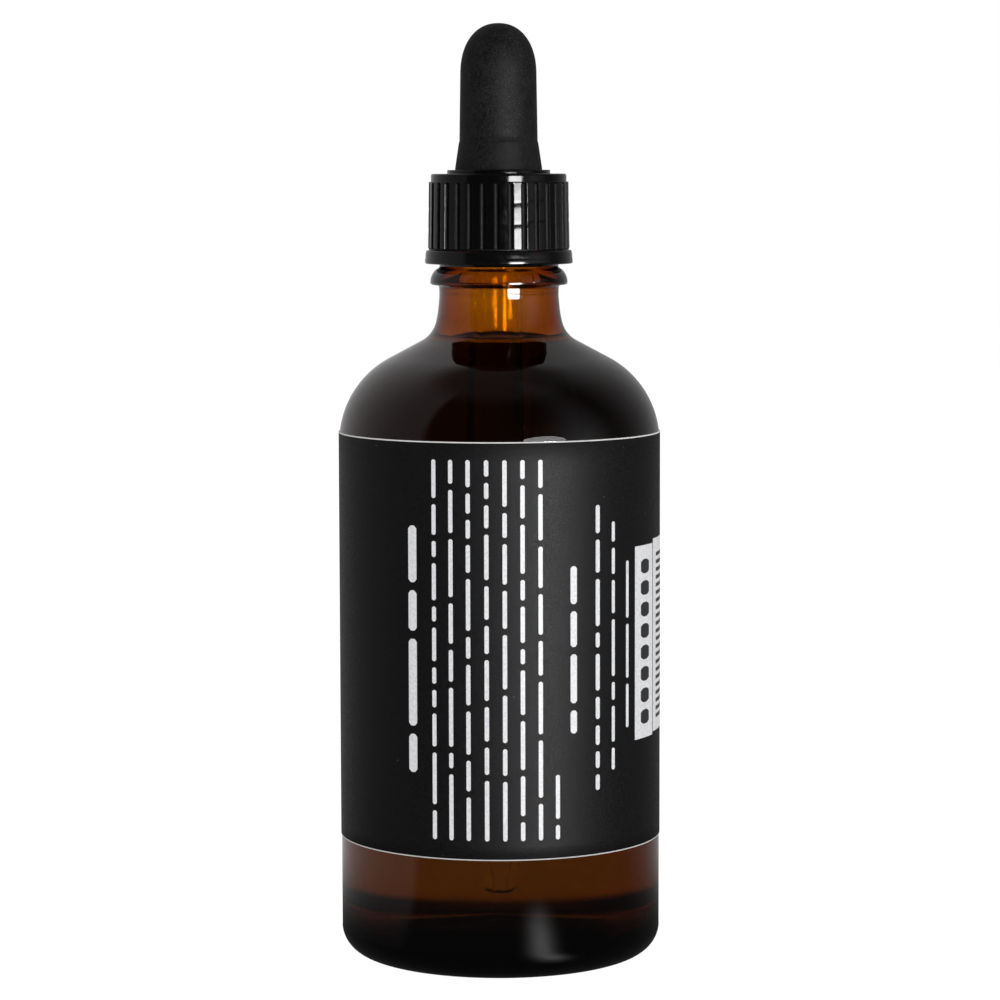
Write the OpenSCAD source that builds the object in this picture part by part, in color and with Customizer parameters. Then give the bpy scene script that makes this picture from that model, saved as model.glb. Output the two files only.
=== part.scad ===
// Dropper bottle for bitters: amber glass, wrap-round label, ribbed screw cap with
// a tamper ring, rubber bulb and glass pipette. Millimetres, +Z up.
// The origin is the middle of the base, on the plane that the bottle stands on.

/* [Bottle body] */
// Outside diameter of the glass body
body_d = 46.6; // [42:0.2:56]
// Height of the straight side, from the base to the start of the shoulder
side_h = 75; // [56:1:110]
// Thickness of the glass wall
wall_t = 2.6; // [2:0.1:3]
// Thickness of the glass base where it stands on the table
base_t = 3.9; // [3:0.1:6]
// Height of the inside floor's middle above its edge
floor_rise = 2.7; // [1:0.1:4]
// Radius of the inside corner between floor and wall
floor_corner_r = 3.6; // [2.4:0.1:5]
// Radius of the rounded heel
heel_r = 4.2; // [2:0.1:5.5]
// Diameter of the push-up under the base
push_up_d = 31; // [20:1:32]
// Height of the push-up under the base
push_up_h = 2.4; // [0.6:0.1:3]

/* [Shoulder and neck] */
// Radius of the rounded shoulder
shoulder_r = 13.7; // [9:0.1:15]
// Slope of the shoulder below the neck, in degrees from level
shoulder_slope = 28; // [20:1:38]
// Radius of the hollow curve between shoulder and neck
neck_fillet_r = 4.3; // [3:0.1:6]
// Outside diameter of the neck at its waist
neck_d = 17.3; // [16.8:0.1:18]
// Radius of the long hollow curve of the waist
waist_curve_r = 14.5; // [9:0.5:18]
// Radius of the shorter hollow curve from the waist up to the carrying bead
bead_curve_r = 6.5; // [5:0.5:12]
// Bore of the neck
bore_d = 12.2; // [11:0.1:12.8]
// Radius of the curve by which the bore widens down to the shoulder
bore_curve_r = 42; // [30:1:60]
// Height from the waist up to the carrying bead
waist_to_bead = 1.7; // [1:0.1:4]
// Diameter of the carrying bead
bead_d = 19.9; // [19:0.1:21]
// Height of the carrying bead
bead_h = 2.4; // [1.6:0.1:3.4]

/* [Neck finish] */
// Height of the finish, from the carrying bead to the lip
finish_h = 11.6; // [11:0.1:15]
// Diameter over the crest of the neck thread
thread_d = 17.9; // [17.4:0.1:18]
// Height of the thread ridge above the neck
thread_depth = 0.9; // [0.5:0.05:1]
// Rise of the thread in one turn
thread_pitch = 3; // [2.4:0.1:3.4]
// Length of the thread in turns
thread_turns = 1.5; // [1:0.25:1.75]
// Diameter of the bead that holds the tamper ring down
catch_d = 18.5; // [18.3:0.1:18.7]
// Rounding of the lip
lip_r = 0.7; // [0.3:0.1:1]

/* [Label] */
// Height of the label's lower edge above the base
label_z = 17.6; // [7:0.2:22]
// Height of the label
label_h = 59; // [30:1:60]
// Thickness of the label paper
label_t = 0.1; // [0.06:0.01:0.3]
// Width of the overlap where the label's two ends meet
label_overlap_w = 5; // [2:0.5:12]

/* [Tamper ring] */
// Outside diameter of the ring at its lower edge
ring_d = 21.4; // [21.1:0.1:22.4]
// Height of the ring
ring_h = 1.95; // [1.5:0.05:2.2]
// Number of thin bridges that break when the cap is first opened
bridge_count = 8; // [4:1:16]
// Width of one bridge
bridge_w = 0.5; // [0.3:0.1:1]

/* [Screw cap] */
// Outside diameter of the cap at its lower edge
cap_d = 20.5; // [20.4:0.1:21]
// How much narrower the cap's ribbed wall is at the top
cap_draft = 0.3; // [0:0.05:0.5]
// Thickness of the cap's top
cap_top_t = 1.1; // [0.8:0.1:1.6]
// Number of grooves round the cap
groove_count = 32; // [12:1:40]
// Width of one groove
groove_w = 0.84; // [0.5:0.02:1]
// Depth of the recess under the ribs, at the cap's lower edge
cap_foot_in = 0.1; // [0.05:0.05:0.6]
// Height of that recess
cap_foot_h = 0.2; // [0.1:0.05:0.8]
// Diameter of the plain band above the grooves
band_d = 19.6; // [19.2:0.1:20]
// Diameter of the raised rim round the bulb
rim_d = 14.9; // [14.2:0.1:16]
// Height of the raised rim
rim_h = 0.55; // [0.3:0.05:1]

/* [Rubber bulb] */
// Diameter of the bulb where it leaves the cap
bulb_foot_d = 12.6; // [12:0.1:13]
// Diameter of the bulb's barrel
bulb_d = 11.3; // [10.6:0.1:11.8]
// Height of the bulb above the lip of the bottle
bulb_h = 23.7; // [20:0.1:34]
// Thickness of the bulb's rubber wall
bulb_wall = 1.4; // [0.9:0.1:1.7]
// Thickness of the flange that the cap presses on the lip
flange_t = 1; // [0.7:0.1:1.4]

/* [Glass pipette] */
// Outside diameter of the pipette
pipette_d = 7; // [6.4:0.1:7.4]
// Thickness of the pipette's glass
pipette_wall = 1.1; // [0.8:0.05:1.3]
// Height of the pipette's tip above the floor inside the bottle
tip_clear = 2.9; // [2:0.1:12]
// Outside diameter of the ball at the tip
tip_d = 4.6; // [4:0.1:5.4]
// Length of the taper above the tip
taper_l = 10; // [6:0.5:14]
// Bore of the tip
tip_bore_d = 1.4; // [0.8:0.1:2]

/* [Bitters] */
// Height of the liquid's surface above the start of the shoulder
fill_over_side = 14; // [5:0.2:14.4]

/* [Hidden] */
$fn = 96;
// Steps along one arc of an outline
arc_steps = 12;
// Overrun of every cut past the surface that it goes through
cut = 1;
// Film between the liquid and the glass that holds it
film = 0.05;
// Clearance round each piece that turns or lifts inside another
run_gap = 0.2;
// Clearance between the bottle's liquid and the pipette that lifts out of it
dip_gap = 0.3;
// Gap between the carrying bead and the tamper ring
ring_gap = 0.75;
// Gap left between the tamper ring and the cap when the bridges break
break_gap = 0.1;

body_r = body_d / 2;
neck_r = neck_d / 2;
bore_r = bore_d / 2;
inner_r = body_r - wall_t;
pipette_r = pipette_d / 2;
pipette_bore_r = pipette_r - pipette_wall;

// Points of an arc in the outline plane, [radius, height], from angle a to angle b
function arc(centre, r, a, b, steps = arc_steps) =
    [for (i = [0:steps]) let (t = a + (b - a) * i / steps) centre + r * [cos(t), sin(t)]];

// Point where the round shoulder passes into the straight slope
function shoulder_end(side_r, r) =
    [side_r - r + r * sin(shoulder_slope), side_h + r * cos(shoulder_slope)];

// Height at which a fillet centre at radius x stands r clear of the straight slope
function fillet_z(p, x, r) = p[1] + (r - (x - p[0]) * sin(shoulder_slope)) / cos(shoulder_slope);

// Outside of the glass from the side to the neck's waist
waist_blend = 14.3;
outer_end = shoulder_end(body_r, shoulder_r);
waist_centre_x = neck_r + waist_curve_r;
fillet_x = waist_centre_x - (waist_curve_r - neck_fillet_r) * cos(waist_blend);
fillet_centre = [fillet_x, fillet_z(outer_end, fillet_x, neck_fillet_r)];
waist_z = fillet_centre[1] + (waist_curve_r - neck_fillet_r) * sin(waist_blend);
bead_curve_angle = asin(waist_to_bead / bead_curve_r);

// Heights up the neck
bead_z = waist_z + waist_to_bead;
bead_top = bead_z + bead_h;
ring_z = bead_top + ring_gap;
ring_top = ring_z + ring_h;
cap_z = ring_top + break_gap;
lip_z = bead_top + finish_h;
cap_roof_z = lip_z + flange_t;
cap_top_z = cap_roof_z + cap_top_t;
floor_z = base_t + floor_rise;

// Carrying bead: a rounded lower corner, an arc that leans in, and a small step to the land
bead_r = bead_d / 2;
land_r = thread_d / 2;
bead_corner_r = 0.35;
bead_widest_z = bead_z + bead_corner_r;
bead_slope_h = bead_top - bead_widest_z;
bead_step = 0.17;
bead_slope_w = bead_r - land_r - bead_step;
bead_slope_r = (bead_slope_w * bead_slope_w + bead_slope_h * bead_slope_h) / (2 * bead_slope_w);
bead_slope_angle = asin(bead_slope_h / bead_slope_r);

// Catch bead that holds the tamper ring down, and the neck's core above it
catch_r = catch_d / 2;
catch_share = 0.6;
catch_z = ring_z + ring_h * catch_share;
core_r = land_r - thread_depth;

module glass_outline() {
    polygon(concat(
        [[0, 0]],
        [[body_r - heel_r, 0]],
        arc([body_r - heel_r, heel_r], heel_r, -90, 0),
        arc([body_r - shoulder_r, side_h], shoulder_r, 0, 90 - shoulder_slope),
        arc(fillet_centre, neck_fillet_r, 270 - shoulder_slope, 180 + waist_blend),
        arc([waist_centre_x, waist_z], waist_curve_r, 180 + waist_blend, 180),
        arc([neck_r + bead_curve_r, waist_z], bead_curve_r, 180, 180 - bead_curve_angle, 6),
        arc([bead_r - bead_corner_r, bead_widest_z], bead_corner_r, -90, 0, 4),
        arc([bead_r - bead_slope_r, bead_widest_z], bead_slope_r, 0, bead_slope_angle, 5),
        [[land_r, bead_top]],
        [[land_r, catch_z]],
        [[catch_r, catch_z + (catch_r - land_r) / 2]],
        [[catch_r, ring_top - (catch_r - land_r)]],
        [[core_r, ring_top]],
        arc([core_r - lip_r, lip_z - lip_r], lip_r, 0, 90, 5),
        arc([bore_r + lip_r, lip_z - lip_r], lip_r, 90, 180, 5),
        [[0, lip_z - lip_r]]
    ));
}

// Outline of the hollow in the bottle, drawn smaller by gap, from the floor to height top
bore_blend = 5;
module hollow_outline(gap, top) {
    side_r = inner_r - gap;
    corner_r = floor_corner_r - gap;
    floor_lean = atan(floor_rise / (inner_r - floor_corner_r));
    curve_r = shoulder_r - wall_t - gap;
    turn_r = neck_fillet_r + wall_t + gap;
    bore_centre_x = bore_r + bore_curve_r;
    turn_x = bore_centre_x - (bore_curve_r + gap - turn_r) * cos(bore_blend);
    turn_centre = [turn_x, fillet_z(shoulder_end(side_r, curve_r), turn_x, turn_r)];
    bore_start_z = turn_centre[1] + (bore_curve_r + gap - turn_r) * sin(bore_blend);
    intersection() {
        polygon(concat(
            [[0, floor_z + gap]],
            arc([side_r - corner_r, base_t + floor_corner_r], corner_r, -90 - floor_lean, 0, 8),
            arc([side_r - curve_r, side_h], curve_r, 0, 90 - shoulder_slope),
            arc(turn_centre, turn_r, 270 - shoulder_slope, 180 + bore_blend),
            arc([bore_centre_x, bore_start_z], bore_curve_r + gap, 180 + bore_blend, 180, 6),
            [[bore_r - gap, lip_z + cut]],
            [[0, lip_z + cut]]
        ));
        square([body_r, top]);
    }
}

// One thread ridge, swept as four-sided sections that rise from the root at both ends.
// Each section runs from radius root to radius crest.
thread_sides = 30;
fade_share = 0.2;
start_share = 0.1;
module thread_sweep(root, crest) {
    steps = round(thread_turns * thread_sides);
    fade = thread_sides * fade_share;
    function reach(i) = root + (crest - root) * max(start_share, min(1, i / fade, (steps - i) / fade));
    function ring(i) =
        let (
            t = 360 * i / thread_sides,
            h = thread_z + thread_pitch * i / thread_sides,
            r = reach(i)
        ) [for (p = [[root, -thread_root_w / 2], [r, -thread_crest_w / 2],
                    [r, thread_crest_w / 2], [root, thread_root_w / 2]])
            [p[0] * cos(t), p[0] * sin(t), h + p[1]]];
    points = [for (i = [0:steps]) each ring(i)];
    walls = [for (i = [0:steps - 1]) for (k = [0:3])
        let (a = 4 * i + k, b = 4 * i + (k + 1) % 4) each [[a, b, a + 4], [b, b + 4, a + 4]]];
    ends = [[0, 2, 1], [0, 3, 2], [4 * steps, 4 * steps + 1, 4 * steps + 2],
            [4 * steps, 4 * steps + 2, 4 * steps + 3]];
    polyhedron(points = points, faces = concat(walls, ends), convexity = 6);
}

// The ridge bites into the neck's core, and ends one root width below the rounded lip
thread_bite = 0.25;
thread_root_w = 1.7;
thread_crest_w = 0.8;
thread_z = lip_z - lip_r - thread_root_w - thread_pitch * thread_turns;

module glass_bottle() {
    color("saddlebrown") {
        difference() {
            rotate_extrude() glass_outline();
            rotate_extrude() hollow_outline(0, lip_z + cut);
            push_up();
        }
        thread_sweep(core_r - thread_bite, land_r);
    }
}

// Shallow dome that lifts the middle of the base off the table
module push_up() {
    dome_r = (push_up_d * push_up_d / 4 + push_up_h * push_up_h) / (2 * push_up_h);
    intersection() {
        translate([0, 0, push_up_h - dome_r]) sphere(r = dome_r);
        translate([0, 0, -cut]) cylinder(h = push_up_h + 2 * cut, r = push_up_d / 2 + cut);
    }
}

// The pipette's outside, drawn wider by gap, from its tip up to height top
tip_z = floor_z + tip_clear;
tip_r = tip_d / 2;
taper_z = tip_z + tip_r + taper_l;
module pipette_outline(gap, top) {
    polygon(concat(
        [[0, tip_z - gap]],
        arc([0, tip_z + tip_r], tip_r + gap, -90, 0, 8),
        [[pipette_r + gap, taper_z]],
        [[pipette_r + gap, top]],
        [[0, top]]
    ));
}

fill_z = side_h + fill_over_side;
module bitters() {
    color("#2a0d02") difference() {
        rotate_extrude() hollow_outline(film, fill_z);
        rotate_extrude() pipette_outline(dip_gap, fill_z + cut);
    }
}

module label() {
    color("#1a1a1c") {
        label_wrap(body_r, 360);
        label_wrap(body_r + label_t, 360 * label_overlap_w / (PI * body_d));
    }
}

// One layer of the label, with its angle measured from the back of the bottle
module label_wrap(r, angle) {
    translate([0, 0, label_z]) rotate([0, 0, 90 - angle / 2])
        rotate_extrude(angle = angle) translate([r, 0]) square([label_t, label_h]);
}

// Inside of the ring: a lip that hooks under the catch bead, and a wider part round it
hook_r = land_r + run_gap;
hook_top = catch_z - run_gap;
ring_lean = 0.15;
ring_edge_r = 0.2;
bridge_l = 0.5;
bridge_short = 0.05;
module tamper_ring() {
    ring_top_r = ring_d / 2 - ring_lean;
    color("#101012") {
        rotate_extrude() polygon(concat(
            [[hook_r, ring_z]],
            arc([ring_d / 2 - ring_edge_r, ring_z + ring_edge_r], ring_edge_r, -90, 0, 3),
            arc([ring_top_r - ring_edge_r, ring_top - ring_edge_r], ring_edge_r, 0, 90, 3),
            [[catch_r + run_gap, ring_top]],
            [[catch_r + run_gap, hook_top]],
            [[hook_r, hook_top - run_gap]]
        ));
        for (i = [0:bridge_count - 1]) rotate([0, 0, 360 * (i + 0.5) / bridge_count])
            translate([catch_r + run_gap, -bridge_w / 2, ring_top - break_gap])
                cube([bridge_l, bridge_w, 2 * break_gap - bridge_short]);
    }
}

cap_r = cap_d / 2;
cap_rib_top_r = cap_r - cap_draft / 2;
cap_bore_r = land_r + run_gap;
band_r = band_d / 2;
band_h = 1.2;
band_edge_r = 0.3;
rib_top_z = cap_top_z - band_h;
bulb_hole_r = bulb_foot_d / 2 + run_gap;
module screw_cap() {
    rim_r = rim_d / 2;
    color("#101012") difference() {
        rotate_extrude() polygon(concat(
            [[cap_bore_r, cap_z]],
            [[cap_r - cap_foot_in, cap_z]],
            [[cap_r - cap_foot_in, cap_z + cap_foot_h]],
            [[cap_r, cap_z + cap_foot_h]],
            [[cap_rib_top_r, rib_top_z]],
            [[band_r, rib_top_z + (cap_rib_top_r - band_r)]],
            arc([band_r - band_edge_r, cap_top_z - band_edge_r], band_edge_r, 0, 90, 4),
            [[rim_r, cap_top_z]],
            [[rim_r, cap_top_z + rim_h]],
            [[bulb_hole_r, cap_top_z + rim_h]],
            [[bulb_hole_r, cap_roof_z]],
            [[cap_bore_r, cap_roof_z]]
        ));
        for (i = [0:groove_count - 1]) rotate([0, 0, groove_turn + 360 * i / groove_count])
            translate([cap_r - cap_draft / 4, 0, cap_z - cut]) groove();
        cap_thread();
    }
}

// One groove: a round-ended cut, turned so that a groove lies where the photo shows it
groove_turn = -80.6;
module groove() {
    r = groove_w / 2;
    h = rib_top_z - r - cap_z + cut;
    rotate_extrude() polygon(concat([[0, 0]], [[r, 0]], arc([0, h], r, 0, 90, 5)));
}

// Female thread: a spiral groove that clears the neck's ridge all the way round
cap_thread_depth = 0.3;
module cap_thread() {
    thread_sweep(cap_bore_r - thread_bite, cap_bore_r + cap_thread_depth);
}

// Outside of the rubber bulb: flange, tapered foot, straight barrel and full round top
flange_over = 0.2;
flange_r = core_r + flange_over;
foot_h = 4;
foot_z = cap_top_z + rim_h;
foot_step = 0.08;
dome_h = 7.35;
dome_draft = 0.15;
dome_fullness = 2.2;
bulb_top_z = lip_z + bulb_h;
barrel_top_z = bulb_top_z - dome_h;
function dome(r, h, z) = [for (i = [0:arc_steps]) let (t = 90 * i / arc_steps)
    [r * pow(cos(t), 2 / dome_fullness), z + h * pow(sin(t), 2 / dome_fullness)]];

// The pipette is pushed up a socket in the bulb's foot and stands a little way into the hollow
socket_l = 6;
pipette_stand = 0.8;
pipette_top_z = cap_roof_z + socket_l;
module rubber_bulb() {
    barrel_r = bulb_d / 2;
    hollow_r = barrel_r - dome_draft - bulb_wall;
    hollow_z = pipette_top_z - pipette_stand;
    color("#161616") difference() {
        rotate_extrude() polygon(concat(
            [[0, lip_z]],
            [[flange_r, lip_z]],
            [[flange_r, cap_roof_z]],
            [[bulb_foot_d / 2, cap_roof_z]],
            [[bulb_foot_d / 2, foot_z]],
            [[barrel_r + foot_step, foot_z + foot_h]],
            [[barrel_r, foot_z + foot_h]],
            dome(barrel_r - dome_draft, dome_h, barrel_top_z)
        ));
        rotate_extrude() polygon(concat(
            [[0, hollow_z]],
            [[hollow_r, hollow_z]],
            dome(hollow_r, dome_h - bulb_wall, barrel_top_z)
        ));
        translate([0, 0, lip_z - cut]) cylinder(h = pipette_top_z - lip_z + cut, r = pipette_r);
    }
}

module glass_pipette() {
    color("#c8b8a0") difference() {
        rotate_extrude() pipette_outline(0, pipette_top_z);
        rotate_extrude() pipette_bore_outline(0, pipette_top_z + cut);
    }
}

// The pipette's inside, drawn smaller by gap, up to height top
module pipette_bore_outline(gap, top) {
    tip_bore_r = tip_bore_d / 2 - gap;
    polygon([[0, tip_z - cut + gap], [tip_bore_r, tip_z - cut + gap], [tip_bore_r, tip_z + tip_r],
             [pipette_bore_r - gap, taper_z], [pipette_bore_r - gap, top], [0, top]]);
}

module bitters_in_pipette() {
    color("#3a1403") intersection() {
        rotate_extrude() pipette_bore_outline(film, fill_z);
        translate([0, 0, tip_z + film]) cylinder(h = fill_z, r = pipette_r);
    }
}

glass_bottle();
bitters();
label();
tamper_ring();
screw_cap();
rubber_bulb();
glass_pipette();
bitters_in_pipette();
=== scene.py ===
# A 100 ml bottle of bitters with a dropper closure: amber glass, a black wrap-round label,
# a ribbed screw cap over a tamper ring, a rubber bulb and a glass pipette.
# Outlines are in millimetres, as (distance from the axis, height above the table).
import random
from math import asin, atan2, cos, degrees, exp, hypot, pi, radians, sin, sqrt, tan

import bmesh
import bpy
from mathutils import Matrix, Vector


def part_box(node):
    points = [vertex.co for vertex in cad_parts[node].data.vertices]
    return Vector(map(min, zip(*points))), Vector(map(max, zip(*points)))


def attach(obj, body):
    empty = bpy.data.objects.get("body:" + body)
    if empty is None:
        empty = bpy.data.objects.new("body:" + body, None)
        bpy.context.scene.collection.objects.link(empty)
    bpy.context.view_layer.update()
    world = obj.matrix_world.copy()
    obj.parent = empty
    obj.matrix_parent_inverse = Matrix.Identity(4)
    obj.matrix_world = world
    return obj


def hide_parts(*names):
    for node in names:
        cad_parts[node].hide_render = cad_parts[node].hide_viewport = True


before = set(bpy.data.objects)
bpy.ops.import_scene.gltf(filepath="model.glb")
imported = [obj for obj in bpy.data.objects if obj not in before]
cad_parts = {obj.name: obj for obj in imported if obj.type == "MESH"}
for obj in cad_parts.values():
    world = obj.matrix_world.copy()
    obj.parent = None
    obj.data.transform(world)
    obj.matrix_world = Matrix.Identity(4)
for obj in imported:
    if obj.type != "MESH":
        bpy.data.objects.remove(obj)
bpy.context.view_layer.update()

# Camera
# The photograph is taken from half a metre in front of the bottle with a long lens, level with
# the top of the cap and tipped a little down, so that the base shows as a shallow curve.
camera_place = (0.00007, -0.5147, 0.1142)
camera_tip = 5.308
camera_roll = -0.155
bounces_in_glass = 24

camera_data = bpy.data.cameras.new("camera")
camera_data.lens = 127.66
camera_data.sensor_width = 36
camera_data.clip_start = 0.01
camera = bpy.data.objects.new("camera", camera_data)
camera.matrix_world = (
    Matrix.Translation(camera_place)
    @ Matrix.Rotation(radians(90 - camera_tip), 4, "X")
    @ Matrix.Rotation(radians(camera_roll), 4, "Z")
)
bpy.context.scene.collection.objects.link(camera)
bpy.context.scene.camera = camera
bpy.context.scene.view_settings.view_transform = "Standard"
bpy.context.scene.cycles.max_bounces = bounces_in_glass
bpy.context.scene.cycles.transmission_bounces = bounces_in_glass
bpy.context.scene.cycles.transparent_max_bounces = 16

# Studio
# A white table and a white wall behind it, a dim room on the camera's side, and one tall soft
# box 28 degrees round to the right, which gives the narrow bright streak on every gloss.
ceiling_grey = 0.092
reflector_at = radians(62)
reflector_w = radians(20)
reflector_h = radians(22)
fill_light = 0.62
table_size = 3.0
table_z = -0.0001
key_azimuth = 28
white = (1, 1, 1, 1)


def node(tree, kind, links=(), **settings):
    """Adds one shader node. Links are (socket, value or output) pairs, and settings its options."""
    made = tree.nodes.new(kind)
    for option, value in settings.items():
        setattr(made, option, value)
    for socket, value in links:
        if isinstance(value, bpy.types.NodeSocket):
            tree.links.new(value, made.inputs[socket])
        else:
            made.inputs[socket].default_value = value
    return made


def ramp(tree, value, low, high, to_low=0.0, to_high=1.0):
    """Passes smoothly from to_low to to_high while value goes from low to high."""
    ends = [("From Min", low), ("From Max", high), ("To Min", to_low), ("To Max", to_high)]
    made = node(tree, "ShaderNodeMapRange", [("Value", value), *ends], interpolation_type="SMOOTHSTEP")
    return made.outputs["Result"]


def blend(tree, share, a, b):
    """The number a where share is 0, and b where it is 1."""
    return node(tree, "ShaderNodeMix", [(0, share), (2, a), (3, b)], data_type="FLOAT").outputs[0]


def sums(tree, operation, a, b=0.0, c=0.0):
    """One sum on numbers."""
    return node(tree, "ShaderNodeMath", [(0, a), (1, b), (2, c)], operation=operation).outputs[0]


def hump(tree, value, middle, width):
    """1 where value is at the middle, falling off on both sides like a bell."""
    off = sums(tree, "DIVIDE", sums(tree, "SUBTRACT", value, middle), width)
    return sums(tree, "EXPONENT", sums(tree, "MULTIPLY", sums(tree, "MULTIPLY", off, off), -1.0))


def length(tree, x, y):
    """The length of the sloping side of a right-angled triangle."""
    squares = sums(tree, "MULTIPLY_ADD", x, x, sums(tree, "MULTIPLY", y, y))
    return sums(tree, "SQRT", squares)


def split(tree, vector):
    """The X, Y and Z of a vector."""
    made = node(tree, "ShaderNodeSeparateXYZ", [(0, vector)])
    return made.outputs["X"], made.outputs["Y"], made.outputs["Z"]


def own_spot(tree):
    """The place of a point on the piece, which moves with it."""
    return node(tree, "ShaderNodeTexCoord").outputs["Object"]


def mixed(tree, share, a, b):
    """The shader a where share is 0, and b where it is 1."""
    return node(tree, "ShaderNodeMixShader", [(0, share), (1, a.outputs[0]), (2, b.outputs[0])])


def glow(tree, strength):
    """A white surface that shines by itself."""
    return node(tree, "ShaderNodeEmission", [("Color", white), ("Strength", strength)])


def new_material(name):
    """An empty material, and the tree that its nodes go into."""
    made = bpy.data.materials.new(name)
    made.use_nodes = True
    made.node_tree.nodes.clear()
    return made, made.node_tree


def room_level(tree, across, ahead):
    """The bearing of a direction from the camera's side, and how bright the room looks there in a
    gloss: dark on the camera's side, grey on the left from 52 degrees round, dimmer on the right."""
    bearing = sums(tree, "ARCTAN2", across, sums(tree, "MULTIPLY", ahead, -1.0))
    left = sums(tree, "MULTIPLY", bearing, -1.0)
    curtain = ramp(tree, left, radians(52), radians(60), 0.02, 0.24)
    past_curtain = ramp(tree, left, radians(70), radians(155), 0.0, 0.28)
    right_wall = ramp(tree, bearing, radians(75), radians(165), 0.0, 0.36)
    return bearing, sums(tree, "MAXIMUM", sums(tree, "ADD", curtain, past_curtain), right_wall)


room = bpy.data.worlds.new("room")
room.use_nodes = True
tree = room.node_tree
tree.nodes.clear()
ray = node(tree, "ShaderNodeLightPath")
across, ahead, up = split(tree, node(tree, "ShaderNodeTexCoord").outputs["Generated"])

# A gloss sees the walls, which pass into a grey ceiling, and a reflector on the right.
bearing, walls = room_level(tree, across, ahead)
rise = sums(tree, "ARCSINE", up)
walls = blend(tree, ramp(tree, rise, radians(50), radians(70)), walls, ceiling_grey)
fall = sums(tree, "DIVIDE", rise, reflector_h)
fall = sums(tree, "DIVIDE", 0.5, sums(tree, "MULTIPLY_ADD", fall, fall, 1.0))
reflector = sums(tree, "MULTIPLY", hump(tree, bearing, reflector_at, reflector_w), fall)
seen_in_gloss = sums(tree, "ADD", walls, reflector)

# Through the glass the wall behind is white at the sides, and low down in the middle.
seen_in_glass = ramp(tree, ahead, -0.3, 0.7, 0.1, 1.0)
aside = ramp(tree, sums(tree, "ABSOLUTE", across), 0.25, 0.45, 0.04, 1.0)
low_or_aside = blend(tree, ramp(tree, up, 0.03, 0.2), 1.0, aside)
seen_in_glass = sums(tree, "MULTIPLY", seen_in_glass, low_or_aside)

level = blend(tree, ray.outputs["Is Glossy Ray"], fill_light, seen_in_gloss)
level = blend(tree, ray.outputs["Is Transmission Ray"], level, seen_in_glass)
level = blend(tree, ray.outputs["Is Camera Ray"], level, 1.0)
backdrop = node(tree, "ShaderNodeBackground", [("Color", white), ("Strength", level)])
node(tree, "ShaderNodeOutputWorld", [("Surface", backdrop.outputs[0])])
bpy.context.scene.world = room

half = table_size / 2
corners = [(-half, -half, table_z), (half, -half, table_z), (half, half, table_z), (-half, half, table_z)]
table_mesh = bpy.data.meshes.new("table")
table_mesh.from_pydata(corners, [], [(0, 1, 2, 3)])
table = bpy.data.objects.new("table", table_mesh)
bpy.context.scene.collection.objects.link(table)

white_board, tree = new_material("white_board")
ray = node(tree, "ShaderNodeLightPath")
right, back = split(tree, own_spot(tree))[:2]
bearing, walls = room_level(tree, right, back)
away = length(tree, right, back)
board = node(tree, "ShaderNodeBsdfDiffuse", [("Color", (0.8, 0.8, 0.8, 1))])

# In a gloss the table shows a painted patch of the soft box's light, in front of the bottle and to the
# right, and painted shade close round the bottle.
lamp_patch = hump(tree, bearing, radians(22.5), radians(6.5))
lamp_patch = sums(tree, "MULTIPLY", lamp_patch, ramp(tree, away, 0.024, 0.03))
lamp_patch = sums(tree, "MULTIPLY", lamp_patch, ramp(tree, away, 0.085, 0.05, 0.0, 1.2))
walls = sums(tree, "MULTIPLY", walls, ramp(tree, away, 0.03, 0.1))
in_gloss = glow(tree, sums(tree, "ADD", sums(tree, "MAXIMUM", walls, lamp_patch), 0.04))
unseen_board = mixed(tree, ray.outputs["Is Glossy Ray"], board, in_gloss)

# Through the glass the table has a painted shadow close round the foot, and a painted pool of light under
# the soft box.
by_lamp = hump(tree, bearing, radians(key_azimuth), radians(10))
by_lamp = sums(tree, "MULTIPLY", by_lamp, ramp(tree, away, 0.24, 0.30, 0.0, 30.0))
round_foot = length(tree, sums(tree, "MULTIPLY", right, 1.7), back)
in_glass = glow(tree, sums(tree, "ADD", ramp(tree, round_foot, 0.032, 0.043, 0.01, 1.0), by_lamp))

# The camera sees a white board that still takes the bottle's shadow.
pale_board = mixed(tree, 0.82, board, glow(tree, 1.2))
seen_board = mixed(tree, ray.outputs["Is Transmission Ray"], pale_board, in_glass)
seen = sums(tree, "MAXIMUM", ray.outputs["Is Camera Ray"], ray.outputs["Is Transmission Ray"])
either_board = mixed(tree, seen, unseen_board, seen_board)
node(tree, "ShaderNodeOutputMaterial", [("Surface", either_board.outputs[0])])
table_mesh.materials.append(white_board)


def soft_box(name, azimuth, distance, height, width, tall, radiance, shape="RECTANGLE"):
    """A soft box that faces the bottle, azimuth degrees to the right of the camera."""
    lamp = bpy.data.lights.new(name, "AREA")
    lamp.shape = shape
    lamp.size = width
    lamp.size_y = tall
    lamp.energy = radiance * pi * width * tall
    box = bpy.data.objects.new(name, lamp)
    a = radians(azimuth)
    box.matrix_world = (
        Matrix.Translation((distance * sin(a), -distance * cos(a), height))
        @ Matrix.Rotation(a, 4, "Z")
        @ Matrix.Rotation(pi / 2, 4, "X")
    )
    box.visible_camera = False
    bpy.context.scene.collection.objects.link(box)
    return box


# The tall soft box is two lamps: one shows in reflections, and a narrower one through the glass.
key = soft_box(
    "key_soft_box", key_azimuth, distance=0.335, height=0.062, width=0.13, tall=0.124, radiance=34
)
key.visible_diffuse = False
key.visible_transmission = False
key_in_glass = soft_box(
    "key_through_the_glass", key_azimuth, distance=0.334, height=0.062, width=0.065, tall=0.124, radiance=70
)
key_in_glass.visible_diffuse = False
key_in_glass.visible_glossy = False

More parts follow.
